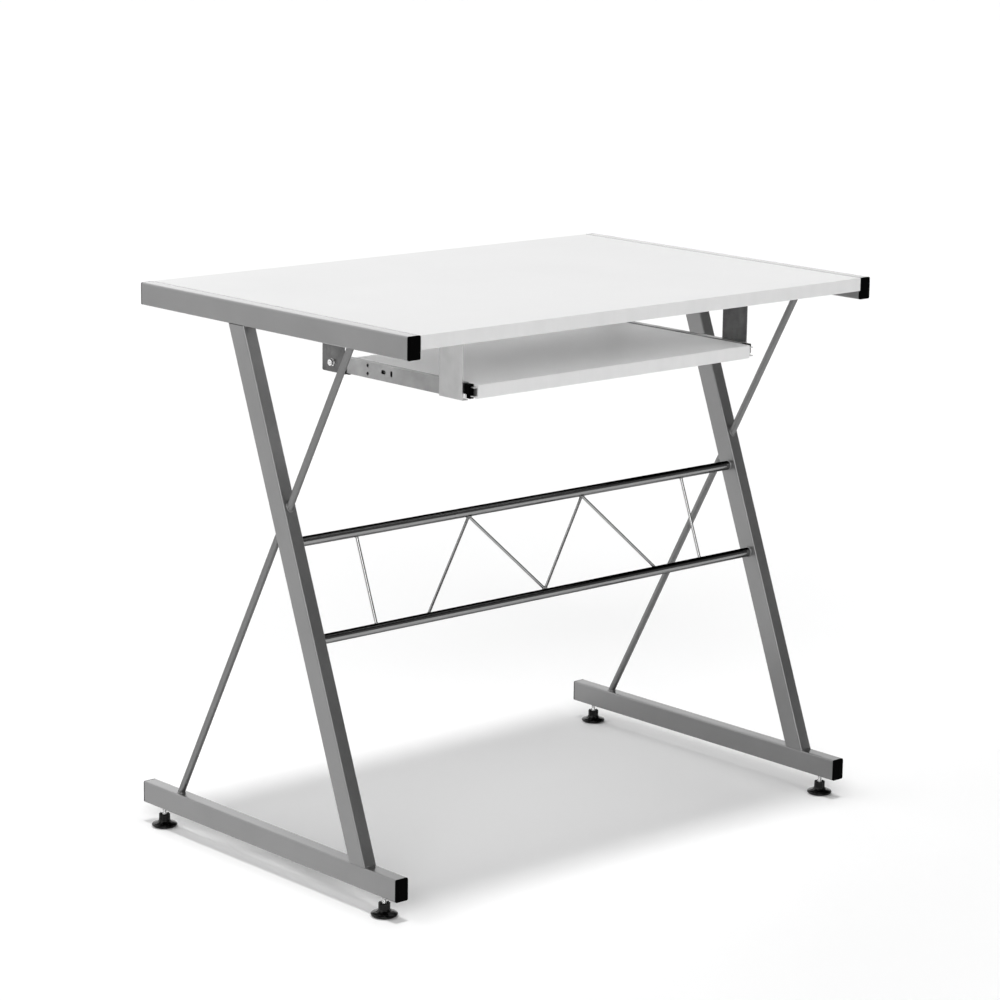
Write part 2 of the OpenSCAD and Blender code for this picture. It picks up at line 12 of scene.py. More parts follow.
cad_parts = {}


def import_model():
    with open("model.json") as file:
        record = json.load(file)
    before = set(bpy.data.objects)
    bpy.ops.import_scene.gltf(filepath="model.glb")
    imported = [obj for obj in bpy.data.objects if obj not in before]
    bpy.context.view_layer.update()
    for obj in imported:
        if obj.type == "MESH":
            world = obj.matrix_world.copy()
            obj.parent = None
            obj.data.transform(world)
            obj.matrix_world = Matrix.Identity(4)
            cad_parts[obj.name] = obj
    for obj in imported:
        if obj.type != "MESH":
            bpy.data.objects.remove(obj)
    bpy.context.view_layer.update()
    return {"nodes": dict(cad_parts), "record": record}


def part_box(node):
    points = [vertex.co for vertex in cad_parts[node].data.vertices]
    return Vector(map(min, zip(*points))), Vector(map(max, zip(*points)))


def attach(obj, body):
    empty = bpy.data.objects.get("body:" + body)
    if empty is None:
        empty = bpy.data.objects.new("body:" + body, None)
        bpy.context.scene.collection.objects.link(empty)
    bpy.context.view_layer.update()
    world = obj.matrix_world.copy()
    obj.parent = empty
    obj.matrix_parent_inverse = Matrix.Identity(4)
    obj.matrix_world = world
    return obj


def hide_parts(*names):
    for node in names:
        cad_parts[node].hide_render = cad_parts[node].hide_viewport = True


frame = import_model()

NODES = frame["nodes"]
MM = 0.001
SIDES = ("left", "right")
ENDS = ("front", "rear")

# Sheet thicknesses of the CAD model.
SLIDE_STEEL = 1.2 * MM
BRACKET_STEEL = 1.5 * MM
TAB_STEEL = 2 * MM


# ---- Materials ----

class Nodes:
    """Short names for building one node tree."""

    def __init__(self, tree):
        self.tree = tree

    def add(self, kind, **values):
        node = self.tree.nodes.new(kind)
        for name, value in values.items():
            setattr(node, name, value)
        return node

    def link(self, source, target):
        self.tree.links.new(source, target)

    def object_coordinates(self, scale=(1, 1, 1)):
        place = self.add("ShaderNodeTexCoord")
        mapping = self.add("ShaderNodeMapping")
        mapping.inputs["Scale"].default_value = scale
        self.link(place.outputs["Object"], mapping.inputs["Vector"])
        return mapping.outputs["Vector"]

    def noise(self, vector, scale, detail=3.0, roughness=0.5):
        node = self.add("ShaderNodeTexNoise")
        node.inputs["Scale"].default_value = scale
        node.inputs["Detail"].default_value = detail
        node.inputs["Roughness"].default_value = roughness
        self.link(vector, node.inputs["Vector"])
        return node.outputs["Fac"]

    def spread(self, value, low, high, start=0.3, stop=0.7):
        """Maps a value from [start, stop] to [low, high]."""
        node = self.add("ShaderNodeMapRange")
        for name, number in (("From Min", start), ("From Max", stop), ("To Min", low), ("To Max", high)):
            node.inputs[name].default_value = number
        self.link(value, node.inputs["Value"])
        return node.outputs["Result"]

    def tint(self, factor, low, high):
        """A colour between low and high, by factor."""
        node = self.add("ShaderNodeMix", data_type="RGBA")
        node.inputs["A"].default_value = (*low, 1)
        node.inputs["B"].default_value = (*high, 1)
        self.link(factor, node.inputs["Factor"])
        return node.outputs["Result"]

    def bump(self, height, distance, strength=1.0, under=None):
        node = self.add("ShaderNodeBump")
        node.inputs["Distance"].default_value = distance
        node.inputs["Strength"].default_value = strength
        self.link(height, node.inputs["Height"])
        if under is not None:
            self.link(under, node.inputs["Normal"])
        return node.outputs["Normal"]


def new_material(name, **sockets):
    """A Principled material with constants set on its own sockets, and its node helper."""
    material = bpy.data.materials.new(name)
    material.use_nodes = True
    nodes = Nodes(material.node_tree)
    shader = material.node_tree.nodes["Principled BSDF"]
    for socket, value in sockets.items():
        shader.inputs[socket.replace("_", " ")].default_value = value
    return material, nodes, shader


def grey(value):
    return (value, value, value)


def laminate(name, base):
    """White melamine with a fine pearl texture."""
    material, n, shader = new_material(name, Roughness=0.5, Specular_IOR_Level=0.3)
    at = n.object_coordinates()
    cloud = n.noise(at, 6.0, 4.0)
    pearl = n.noise(at, 900.0, 2.0)
    n.link(n.tint(n.spread(cloud, 0, 1), grey(base - 0.01), grey(base + 0.01)), shader.inputs["Base Color"])
    n.link(n.spread(pearl, 0.46, 0.58), shader.inputs["Roughness"])
    n.link(n.bump(pearl, 0.00002, 0.35), shader.inputs["Normal"])
    return material


def white_edging():
    """Plastic edge band, faintly wavy along its length."""
    material, n, shader = new_material("white_edging", Roughness=0.38, Specular_IOR_Level=0.5)
    at = n.object_coordinates((1, 1, 0.08))
    wave = n.noise(at, 60.0, 3.0)
    n.link(n.tint(n.spread(wave, 0, 1), grey(0.76), grey(0.79)), shader.inputs["Base Color"])
    n.link(n.bump(wave, 0.0001, 0.25), shader.inputs["Normal"])
    return material


def silver_paint(name, edge, coat):
    """Silver paint with fine flakes; a low edge darkens it where it turns away, coat is its clear layer."""
    material, n, shader = new_material(
        name, Metallic=0.85, Roughness=0.4, Specular_Tint=(*grey(edge), 1),
        Coat_Weight=coat, Coat_Roughness=0.18)
    at = n.object_coordinates()
    flake = n.noise(at, 2600.0, 1.0)
    peel = n.noise(at, 420.0, 2.0)
    cloud = n.noise(at, 14.0, 3.0)
    base = n.tint(n.spread(cloud, 0, 1), grey(0.19), grey(0.215))
    mix = n.add("ShaderNodeMix", data_type="RGBA", blend_type="OVERLAY")
    mix.inputs["Factor"].default_value = 0.35
    n.link(base, mix.inputs["A"])
    n.link(n.tint(n.spread(flake, 0, 1), grey(0.3), grey(0.7)), mix.inputs["B"])
    n.link(mix.outputs["Result"], shader.inputs["Base Color"])
    n.link(n.spread(cloud, 0.36, 0.44), shader.inputs["Roughness"])
    n.link(n.bump(flake, 0.00002, 0.2, n.bump(peel, 0.00006, 0.35)), shader.inputs["Normal"])
    return material


def plated(name, base, top, roughness, along):
    """Drawn and plated steel.

    base is its own tone, top is a tone painted over the upper side by height (a painted dark reflection where
    it differs from base), and along is the texture's scale along X.
    """
    material, n, shader = new_material(
        name, Metallic=1.0, Roughness=roughness, Specular_Tint=(*grey(0.05), 1))
    at = n.object_coordinates((along, 1, 1))
    draw = n.noise(at, 900.0, 3.0)
    height = n.add("ShaderNodeSeparateXYZ")
    n.link(n.add("ShaderNodeTexCoord").outputs["Generated"], height.inputs["Vector"])
    # Painted dark reflection: the base colour fades to the top tone on the upper side, by height.
    painted_reflection_band = n.add("ShaderNodeMix", data_type="RGBA")
    n.link(n.spread(height.outputs["Z"], 0, 1, start=0.5, stop=0.95), painted_reflection_band.inputs["Factor"])
    n.link(n.tint(n.spread(draw, 0, 1), grey(base - 0.03), grey(base + 0.03)), painted_reflection_band.inputs["A"])
    painted_reflection_band.inputs["B"].default_value = (*grey(top), 1)
    n.link(painted_reflection_band.outputs["Result"], shader.inputs["Base Color"])
    n.link(n.spread(draw, roughness - 0.03, roughness + 0.06), shader.inputs["Roughness"])
    n.link(n.bump(draw, 0.00001, 0.3), shader.inputs["Normal"])
    return material


def zinc(name, base, roughness, stretch):
    """Zinc-plated or bare steel, cloudy, with a grain; stretch scales the grain along each axis."""
    material, n, shader = new_material(name, Metallic=0.9, Roughness=roughness)
    at = n.object_coordinates(stretch)
    grain = n.noise(at, 500.0, 3.0)
    bloom = n.noise(n.object_coordinates(), 45.0, 4.0)
    n.link(n.tint(n.spread(bloom, 0, 1), grey(base - 0.04), grey(base + 0.04)), shader.inputs["Base Color"])
    n.link(n.spread(grain, roughness - 0.04, roughness + 0.05), shader.inputs["Roughness"])
    n.link(n.bump(grain, 0.00001, 0.15), shader.inputs["Normal"])
    return material


def black_plastic(name, gloss, roughness):
    """Moulded black plastic with a fine grain."""
    material, n, shader = new_material(name, Roughness=roughness, Specular_IOR_Level=gloss)
    at = n.object_coordinates()
    grain = n.noise(at, 1600.0, 2.0)
    n.link(n.tint(n.spread(grain, 0, 1), grey(0.001), grey(0.002)), shader.inputs["Base Color"])
    n.link(n.spread(grain, roughness - 0.06, roughness + 0.06), shader.inputs["Roughness"])
    n.link(n.bump(grain, 0.00004, 0.4), shader.inputs["Normal"])
    return material


def white_plastic():
    """Moulded white plastic."""
    material, n, shader = new_material("white_plastic", Roughness=0.4)
    grain = n.noise(n.object_coordinates(), 1200.0, 2.0)
    n.link(n.tint(n.spread(grain, 0, 1), grey(0.8), grey(0.84)), shader.inputs["Base Color"])
    n.link(n.bump(grain, 0.00003, 0.3), shader.inputs["Normal"])
    return material


def floor_paint():
    """Matt near-white."""
    material, n, shader = new_material("studio_floor", Roughness=0.9, Specular_IOR_Level=0.1)
    cloud = n.noise(n.object_coordinates(), 1.5, 2.0)
    n.link(n.tint(n.spread(cloud, 0, 1), grey(0.95), grey(0.96)), shader.inputs["Base Color"])
    return material


# Scales of a sheet's grain along X, Y and Z: drawn out along the slides, or up the brackets.
ALONG_Y = (1, 0.06, 1)
ALONG_Z = (1, 1, 0.06)

FINISH = {
    "white_laminate": laminate("white_laminate", base=0.79),
    "white_edging": white_edging(),
    "silver_paint": silver_paint("silver_paint", edge=1.0, coat=1.0),
    # The cross bars' near-black top tone is a painted dark reflection on their upper side.
    "plated_bar": plated("plated_bar", base=0.3, top=0.008, roughness=0.14, along=0.03),
    "plated_wire": plated("plated_wire", base=0.42, top=0.42, roughness=0.12, along=1),
    "zinc_sheet": zinc("zinc_sheet", base=0.34, roughness=0.34, stretch=ALONG_Y),
    # The cage's near-black tone is painted shade, so the slide's holes look dark.
    "cage_steel": zinc("cage_steel", base=0.03, roughness=0.4, stretch=ALONG_Y),
    "zinc_fastener": zinc("zinc_fastener", base=0.8, roughness=0.16, stretch=(1, 1, 1)),
    "white_plastic": white_plastic(),
    "black_plastic": black_plastic("black_plastic", gloss=0.01, roughness=0.6),
}

for part in frame["record"]["subparts"]:
    mesh = NODES[part["node"]].data
    mesh.materials.clear()
    mesh.materials.append(FINISH[part["material_slot"]])


def refinish(names, material):
    """Gives some nodes their own version of their slot's finish."""
    for name in names:
        NODES[name].data.materials[0] = material


# Painted light: the tray's laminate is a lighter copy of the desktop's, so its top looks lit under the
# desktop.
refinish(["tray_board"], laminate("tray_laminate_painted_light", base=0.9))
refinish([name for name in NODES if name.endswith("_brace")],
         silver_paint("silver_paint_rod", edge=0.1, coat=0.25))
refinish(["left_slide_inner", "right_slide_inner"],
         zinc("zinc_inner", base=0.55, roughness=0.3, stretch=ALONG_Y))
# The left front bracket keeps the plain zinc tone; the other three get a darker copy of it, painted shade.
refinish(["left_front_bracket"], zinc("zinc_bracket", base=0.5, roughness=0.34, stretch=ALONG_Z))
refinish(["left_rear_bracket", "right_front_bracket", "right_rear_bracket"],
         zinc("zinc_bracket_painted_shade", base=0.13, roughness=0.3, stretch=ALONG_Z))


# ---- Mesh helpers ----

def piece(name, body, slot, verts, faces, replaces=None, smooth_angle=35, material=None):
    """Adds one object that rides on a body and takes a slot's finish, or its own version of it."""
    mesh = bpy.data.meshes.new(name)
    mesh.from_pydata([tuple(v) for v in verts], [], faces)
    build = bmesh.new()
    build.from_mesh(mesh)
    bmesh.ops.recalc_face_normals(build, faces=build.faces)
    limit = math.radians(smooth_angle)
    for face in build.faces:
        face.smooth = True
    for edge in build.edges:
        edge.smooth = len(edge.link_faces) == 2 and edge.calc_face_angle() < limit
    build.to_mesh(mesh)
    build.free()
    mesh.materials.append(material or FINISH[slot])
    made = bpy.data.objects.new(name, mesh)
    bpy.context.scene.collection.objects.link(made)
    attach(made, body)
    if replaces:
        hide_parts(replaces)
    return made


def rings_mesh(rings, first, loop):
    """Joins rings of equal length into a closed skin: a loop, or with a face over each end."""
    count = len(rings[0])
    faces = []
    for i in range(len(rings) if loop else len(rings) - 1):
        a, b = first + i * count, first + (i + 1) % len(rings) * count
        for j in range(count):
            k = (j + 1) % count
            faces.append((a + j, a + k, b + k, b + j))
    if not loop:
        last = first + (len(rings) - 1) * count
        faces.append(tuple(first + j for j in range(count)))
        faces.append(tuple(last + j for j in reversed(range(count))))
    return [v for ring in rings for v in ring], faces


class Shape:
    """Collects several closed skins into one piece."""

    def __init__(self):
        self.verts, self.faces = [], []

    def add(self, rings, place=Matrix.Identity(4), loop=False):
        verts, faces = rings_mesh(rings, len(self.verts), loop)
        self.verts += [place @ Vector(v) for v in verts]
        self.faces += faces


def turned(profile, segments, shape=None):
    """Rings about Z from (radius, z) pairs; shape(radius, z, angle) may change a point's radius and z."""
    rings = []
    for radius, z in profile:
        ring = []
        for j in range(segments):
            angle = 2 * math.pi * j / segments
            r, h = shape(radius, z, angle) if shape else (radius, z)
            ring.append(Vector((r * math.cos(angle), r * math.sin(angle), h)))
        rings.append(ring)
    return rings


def swept(path, radius, segments=12, lumps=0.0, seed=0.0, loop=False):
    """Rings of a round bead along a path; lumps is the share by which its radius wanders."""
    rings = []
    across = None
    count = len(path)
    centre = sum(path, Vector()) / count
    for i, point in enumerate(path):
        if loop:
            ahead = (path[(i + 1) % count] - path[i - 1]).normalized()
            across = point - centre
        else:
            ahead = (path[min(i + 1, count - 1)] - path[max(i - 1, 0)]).normalized()
            across = across or ahead.orthogonal()
        across = (across - ahead * across.dot(ahead)).normalized()
        other = ahead.cross(across)
        ring = []
        for j in range(segments):
            angle = 2 * math.pi * j / segments
            out = across * math.cos(angle) + other * math.sin(angle)
            wander = 1 + lumps * noise.noise(point * 900 + out * 0.6 + Vector((seed, 0, 0)))
            ring.append(point + out * radius * wander)
        rings.append(ring)
    return rings


def turn_onto(axis, at):
    """The matrix that puts a shape drawn along +Z onto an axis, starting at a point."""
    return Matrix.Translation(at) @ axis.to_track_quat("Z", "Y").to_matrix().to_4x4()


def thread(radius, depth, pitch, length, segments=18, steps=6, tip=0.8 * MM):
    """Rings of a screw thread along +Z, faded out at both ends."""
    rings = []
    count = int(length / pitch * steps)
    for i in range(count + 1):
        z = length * i / count
        fade = min(1, z / pitch, (length - z) / pitch)
        chamfer = max(0, tip - (length - z)) + max(0, tip - z)
        ring = []
        for j in range(segments):
            turn = j / segments
            phase = (z / pitch - turn) % 1
            groove = abs(2 * phase - 1)
            r = radius - depth * groove * fade - chamfer * 0.8
            angle = 2 * math.pi * turn
            ring.append(Vector((r * math.cos(angle), r * math.sin(angle), z)))
        rings.append(ring)
    return rings


def hex_nut(width, height, bore, segments=72):
    """Rings of a hexagon nut along +Z: chamfered outside, and round inside."""
    flat = width / 2
    chamfer = math.tan(math.radians(30))

    def corner(angle):
        return flat / math.cos((angle + math.pi / 6) % (math.pi / 3) - math.pi / 6)

    def outline(face_z, inward, at_face):
        def place(_radius, _z, angle):
            r = corner(angle)
            face_r = 0.96 * flat
            return (face_r, face_z) if at_face else (r, face_z + inward * (r - face_r) * chamfer)
        return place

    rings = turned([(bore, 0)], segments)
    for face_z, inward, at_face in ((0, 1, True), (0, 1, False), (height, -1, False), (height, -1, True)):
        rings += turned([(0, 0)], segments, outline(face_z, inward, at_face))
    return rings + turned([(bore, height)], segments)


def rounded_rect(width, height, radius, y, steps=6):
    """A ring in the XZ plane at y."""
    ring = []
    for quarter in range(4):
        cx = (1 if quarter in (0, 3) else -1) * (width / 2 - radius)
        cz = (1 if quarter < 2 else -1) * (height / 2 - radius)
        for i in range(steps + 1):
            angle = math.pi / 2 * (quarter + i / steps)
            ring.append(Vector((cx + radius * math.cos(angle), y, cz + radius * math.sin(angle))))
    return ring


def middle(node):
    low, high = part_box(node)
    return (low + high) / 2


# ---- End caps ----

def end_cap(name):
    """A moulded cap with a softened, slightly crowned face and a hollow plug."""
    low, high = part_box(name)
    width, height = high.x - low.x, high.z - low.z
    out = -1 if "front" in name else 1
    plate, wall, ease = 2.5 * MM, 1.6 * MM, 0.9 * MM
    plug_w, plug_h = width - 2.7 * MM, height - 2.7 * MM
    deep = high.y - low.y - plate
    rings = [
        rounded_rect(plug_w - 2 * wall, plug_h - 2 * wall, 1 * MM, 0),
        rounded_rect(plug_w - 2 * wall, plug_h - 2 * wall, 1 * MM, deep),
        rounded_rect(plug_w, plug_h, 1 * MM, deep),
        rounded_rect(plug_w, plug_h, 1 * MM, 0.01 * MM),
        rounded_rect(width, height, 2 * MM, 0),
    ]
    for i in range(7):
        turn = math.pi / 2 * i / 6
        inset = ease * (1 - math.cos(turn))
        y = -(plate - 0.25 * MM - ease) - ease * math.sin(turn)
        rings.append(rounded_rect(width - 2 * inset, height - 2 * inset, 2 * MM, y))
    for share, rise in ((0.75, 0.12), (0.4, 0.21), (0.1, 0.25)):
        w, h = share * (width - 2 * ease), share * (height - 2 * ease)
        rings.append(rounded_rect(w, h, min(2 * MM, 0.4 * w), -(plate - (0.25 - rise) * MM)))
    face_y = (low.y if out < 0 else high.y) - out * plate
    place = Matrix.Translation(((low.x + high.x) / 2, face_y, (low.z + high.z) / 2))
    if out > 0:
        place = place @ Matrix.Rotation(math.pi, 4, "Z")
    shape = Shape()
    shape.add(rings, place)
    piece(f"{name}_moulded", "frame", "black_plastic", shape.verts, shape.faces, name, smooth_angle=50)


for side in SIDES:
    for rail in ("top", "floor"):
        for end in ENDS:
            end_cap(f"{side}_{rail}_{end}_cap")


# ---- Levelling feet ----

FOOT_NYLON = black_plastic("foot_nylon", gloss=0.2, roughness=0.16)


def foot_pad(name, body):
    """The bell-shaped foot with a fluted neck, a notched top edge and a round hollow for the stud."""
    low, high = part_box(name)
    big = (high.x - low.x) / 2
    top = high.z
    flutes, neck, shoulder_z = 10, 7.6 * MM, 6 * MM
    skirt_z, skirt_bend = 3.2 * MM, 1.6 * MM
    shoulder = big - 4.8 * MM
    sweep = shoulder - neck
    profile = [(big - 4 * MM, 0), (big - 3.5 * MM, 0.1 * MM), (big - 1.1 * MM, 1.2 * MM)]
    for i in range(7):
        turn = math.radians(-20 + 85 * i / 6)
        radius = big - skirt_bend + skirt_bend * math.cos(turn)
        profile.append((radius, skirt_z + skirt_bend * math.sin(turn)))
    for i in range(9):
        turn = math.radians(270 - 88 * i / 8)
        profile.append((shoulder + sweep * math.cos(turn), shoulder_z + sweep + sweep * math.sin(turn)))
    profile += [(neck, top - 1.6 * MM), (neck - 0.1 * MM, top - 0.5 * MM), (neck - 0.6 * MM, top)]
    profile += [(5.4 * MM, top), (5 * MM, top - 0.4 * MM), (5 * MM, top - 3 * MM), (3.1 * MM, top - 3.2 * MM)]
    profile += [(3.05 * MM, 4 * MM)]

    def fluted(radius, z, angle):
        wave = 0.5 - 0.5 * math.cos(flutes * angle)
        on_skirt = max(0, min(1, (z - 4.6 * MM) / (3 * MM)))
        outside = 1 if radius > 5.6 * MM else 0
        groove = 0.95 * MM * on_skirt * outside * wave ** 1.5
        notch = 2.4 * MM * wave ** 2 if z > top - 1.2 * MM and radius > 5.2 * MM else 0
        return radius - groove, z - notch

    rings = turned(profile, 144, fluted)
    shape = Shape()
    shape.add(rings, Matrix.Translation(((low.x + high.x) / 2, (low.y + high.y) / 2, 0)))
    piece(f"{name}_fluted", body, "black_plastic", shape.verts, shape.faces, name,
          smooth_angle=50, material=FOOT_NYLON)


def foot_stud(name, body):
    """The levelling stud, threaded from end to end."""
    low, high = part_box(name)
    shape = Shape()
    radius = (high.x - low.x) / 2
    at = Vector(((low.x + high.x) / 2, (low.y + high.y) / 2, low.z))
    rings = thread(radius, depth=0.6 * MM, pitch=1 * MM, length=high.z - low.z)
    shape.add(rings, Matrix.Translation(at))
    piece(f"{name}_threaded", body, "zinc_fastener", shape.verts, shape.faces, name, smooth_angle=60)


for side in SIDES:
    for end in ENDS:
        body = f"{side}_{end}_foot"
        foot_pad(f"{body}_pad", body)
        foot_stud(f"{body}_stud", body)


# ---- Cross panel ----

UPPER, LOWER = middle("upper_cross_bar"), middle("lower_cross_bar")
BAR_R = (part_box("upper_cross_bar")[1].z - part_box("upper_cross_bar")[0].z) / 2
BAR_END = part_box("upper_cross_bar")[1].x
PANEL_UP = Vector((0, UPPER.y - LOWER.y, UPPER.z - LOWER.z))
PANEL_SPAN = PANEL_UP.length
PANEL_UP.normalize()
PANEL_OUT = Vector((1, 0, 0)).cross(PANEL_UP)
WIRE_R = (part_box("left_strut")[1].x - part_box("left_strut")[0].x) / 2


def in_panel(x, up, out=0.0):
    """A point of the panel's plane, measured from the lower bar's axis."""
    return Vector((x, LOWER.y, LOWER.z)) + PANEL_UP * up + PANEL_OUT * out


def zigzag():
    """One bent wire with round bends, laid against the bars at its bends."""
    low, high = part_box("zigzag_wire")
    pitch = (high.x - low.x) / 4
    bend, weld_sink = 4 * MM, 0.5 * MM
    start = BAR_R + WIRE_R - weld_sink + bend
    rise = PANEL_SPAN - 2 * start
    lean = math.atan2(pitch, rise) - math.asin(2 * bend / math.hypot(pitch, rise))
    sink = BAR_R - 0.6 * MM
    end_x = 2 * pitch - bend * math.cos(lean) + (start - bend * math.sin(lean) - sink) * math.tan(lean)
    path = [in_panel(-end_x, sink)]
    for column, is_high in ((-1, True), (0, False), (1, True)):
        centre_up = PANEL_SPAN - start if is_high else start
        sign = 1 if is_high else -1
        for i in range(13):
            turn = math.pi - lean + (2 * lean - math.pi) * i / 12
            x = column * pitch + bend * math.cos(turn)
            path.append(in_panel(x, centre_up + sign * bend * math.sin(turn)))
    path.append(in_panel(end_x, sink))
    dense = []
    for a, b in zip(path, path[1:]):
        parts = max(1, round((b - a).length / (8 * MM)))
        dense += [a.lerp(b, i / parts) for i in range(parts)]
    dense.append(path[-1])
    shape = Shape()
    shape.add(swept(dense, WIRE_R, segments=20))
    piece("zigzag_wire_bent", "frame", "plated_wire", shape.verts, shape.faces, "zigzag_wire",
          smooth_angle=60)
    return pitch


ZIGZAG_PITCH = zigzag()


# ---- Welds ----

def ring_path(at, axis, radius, lean=None, steps=28):
    """Points round an axis; lean is a plane's normal that cuts the ring at a slant."""
    across = axis.orthogonal().normalized()
    other = axis.cross(across)
    points = []
    for i in range(steps):
        angle = 2 * math.pi * i / steps
        out = (across * math.cos(angle) + other * math.sin(angle)) * radius
        if lean is not None:
            out -= axis * (out.dot(lean) / axis.dot(lean))
        points.append(at + out)
    return points


TUBE_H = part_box("left_top_rail")[1].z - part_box("left_top_rail")[0].z
TUBE_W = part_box("left_top_rail")[1].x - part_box("left_top_rail")[0].x


def round_bead(shape, path, radius, lumps, seed, segments=10):
    """Adds a closed, slightly lumpy weld bead along a ring of points."""
    shape.add(swept(path, radius, segments, lumps, seed, loop=True), loop=True)


def frame_lines(side):
    """Top and foot points of a side's leg and brace, on the rails' faces, and the brace's radius."""
    top_z, foot_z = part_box(f"{side}_top_rail")[0].z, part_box(f"{side}_floor_rail")[1].z
    x = middle(f"{side}_leg").x
    rise = top_z - foot_z

    def line(y_a, y_b, half, sign):
        """Ends of a line from y_a at the top to y_b at the foot, each moved in by half / cos(rake)."""
        slack = half
        for _ in range(6):
            slack = half * math.hypot(rise, (y_a - y_b) + sign * 2 * slack) / rise
        return Vector((x, y_a + sign * slack, top_z)), Vector((x, y_b - sign * slack, foot_z))

    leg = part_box(f"{side}_leg")
    upper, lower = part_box(f"{side}_upper_brace"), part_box(f"{side}_lower_brace")
    rod_r = (upper[1].x - upper[0].x) / 2
    return line(leg[1].y, leg[0].y, TUBE_H / 2, -1), line(upper[0].y, lower[1].y, rod_r, 1), rod_r


def side_welds(side):
    """Weld beads of one side frame: leg and brace on the rails, brace on the leg."""
    (leg_top, leg_foot), (rod_top, rod_foot), rod_r = frame_lines(side)
    shape = Shape()
    seed = 3.0 if side == "left" else 11.0
    leg_axis = (leg_top - leg_foot).normalized()
    rod_axis = (rod_top - rod_foot).normalized()
    up = Vector((0, 0, 1))
    for at in (rod_top, rod_foot):
        round_bead(shape, ring_path(at, rod_axis, rod_r, up), 1.3 * MM, lumps=0.35, seed=seed)
    half_w = TUBE_W / 2 - 2.4 * MM
    reach = TUBE_H / 2 / leg_axis.z
    for at in (leg_top, leg_foot):
        for sign in (-1, 1):
            y = at.y + sign * reach
            path = [Vector((at.x - half_w + 2 * half_w * i / 18, y, at.z)) for i in range(19)]
            shape.add(swept(path, 1.5 * MM, segments=10, lumps=0.4, seed=seed + at.z * 9))
    face = Vector((0, leg_axis.z, -leg_axis.y))
    slope = rod_axis.dot(face)
    for sign in (-1, 1):
        share = (leg_foot + face * sign * TUBE_H / 2 - rod_foot).dot(face) / slope
        at = rod_foot + rod_axis * share
        round_bead(shape, ring_path(at, rod_axis, rod_r, face), 1.2 * MM, lumps=0.35, seed=seed + sign)
    piece(f"{side}_frame_welds", "frame", "silver_paint", shape.verts, shape.faces, smooth_angle=70)


def panel_welds():
    """Beads where the bars meet the legs and where the wires meet the bars."""
    shape = Shape()
    along = Vector((1, 0, 0))
    for bar in (UPPER, LOWER):
        for sign in (-1, 1):
            at = Vector((sign * BAR_END, bar.y, bar.z))
            round_bead(shape, ring_path(at, along, BAR_R), 1.4 * MM, lumps=0.4, seed=bar.z * 7 + sign)
    piece("cross_bar_welds", "frame", "silver_paint", shape.verts, shape.faces, smooth_angle=70)
    shape = Shape()
    for side in SIDES:
        x = middle(f"{side}_strut").x
        for up in (BAR_R + 0.1 * MM, PANEL_SPAN - BAR_R - 0.1 * MM):
            path = ring_path(in_panel(x, up), PANEL_UP, WIRE_R, steps=16)
            round_bead(shape, path, 0.7 * MM, lumps=0.4, seed=x * 9, segments=8)
    for column, up, sign in ((-1, PANEL_SPAN, -1), (0, 0, 1), (1, PANEL_SPAN, -1)):
        for out in (-1, 1):
            touch = up + sign * BAR_R * 1.01
            path = [in_panel(column * ZIGZAG_PITCH + (i - 5) * 0.8 * MM, touch, out * 1.3 * MM)
                    for i in range(11)]
            shape.add(swept(path, 0.8 * MM, segments=8, lumps=0.4, seed=column + out * 2.0))
    piece("wire_welds", "frame", "plated_wire", shape.verts, shape.faces, smooth_angle=70)


for side in SIDES:
    side_welds(side)
panel_welds()


# ---- Fasteners ----

def slide_bolt(shape, side):
    """Washer, chamfered nut and threaded end outside the rear bracket, and the head inside the slide."""
    low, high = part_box("slide_bolts")
    sign = -1 if side == "left" else 1
    web_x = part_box(f"{side}_slide_outer")[0 if sign < 0 else 1].x
    at_y, at_z = (low.y + high.y) / 2, (low.z + high.z) / 2
    tip_x = low.x if sign < 0 else high.x
    out = Vector((sign, 0, 0))
    head_t, washer_t, nut_t = 2 * MM, 1 * MM, 4 * MM
    inside = Vector((web_x - sign * SLIDE_STEEL, at_y, at_z))
    length = abs(tip_x - inside.x)
    shape.add(thread(2.5 * MM, depth=0.45 * MM, pitch=0.8 * MM, length=length), turn_onto(out, inside))
    head = [(0.3 * MM, -head_t), (3.2 * MM, -head_t), (4.2 * MM, -0.8 * head_t), (4.5 * MM, -0.4 * head_t),
            (4.5 * MM, 0), (0.3 * MM, 0)]
    shape.add(turned(head, 36), turn_onto(out, inside))
    face = Vector((web_x + sign * BRACKET_STEEL, at_y, at_z))
    washer = [(2.6 * MM, 0), (4.8 * MM, 0), (5 * MM, 0.2 * MM), (5 * MM, 0.8 * MM), (4.8 * MM, washer_t),
              (2.6 * MM, washer_t)]
    shape.add(turned(washer, 48), turn_onto(out, face), loop=True)
    nut = hex_nut(width=8 * MM, height=nut_t, bore=2.4 * MM)
    shape.add(nut, turn_onto(out, face + out * washer_t), loop=True)


def cross_head(radius, height):
    """Rings of a domed screw head along -Z, with a cross recess."""
    arm, reach, sink = 0.16 * radius, 0.62 * radius, 0.55 * height

    def recess(r, z, angle):
        x, y = abs(r * math.cos(angle)), abs(r * math.sin(angle))
        edge = min(x, y) - arm
        deep = max(0, min(1, 1 - edge / (0.12 * radius))) if r < reach else 0
        return r, z + sink * deep

    profile = [(radius * s, -height * (1 - 0.55 * s ** 2.6)) for s in
               (0.03, 0.12, 0.2, 0.28, 0.36, 0.44, 0.52, 0.6, 0.64, 0.72, 0.82, 0.9, 0.96, 1.0)]
    rings = turned(profile, 64, recess)
    return rings + turned([(radius, -0.25 * height), (radius * 0.97, 0), (0.03 * radius, 0)], 64)


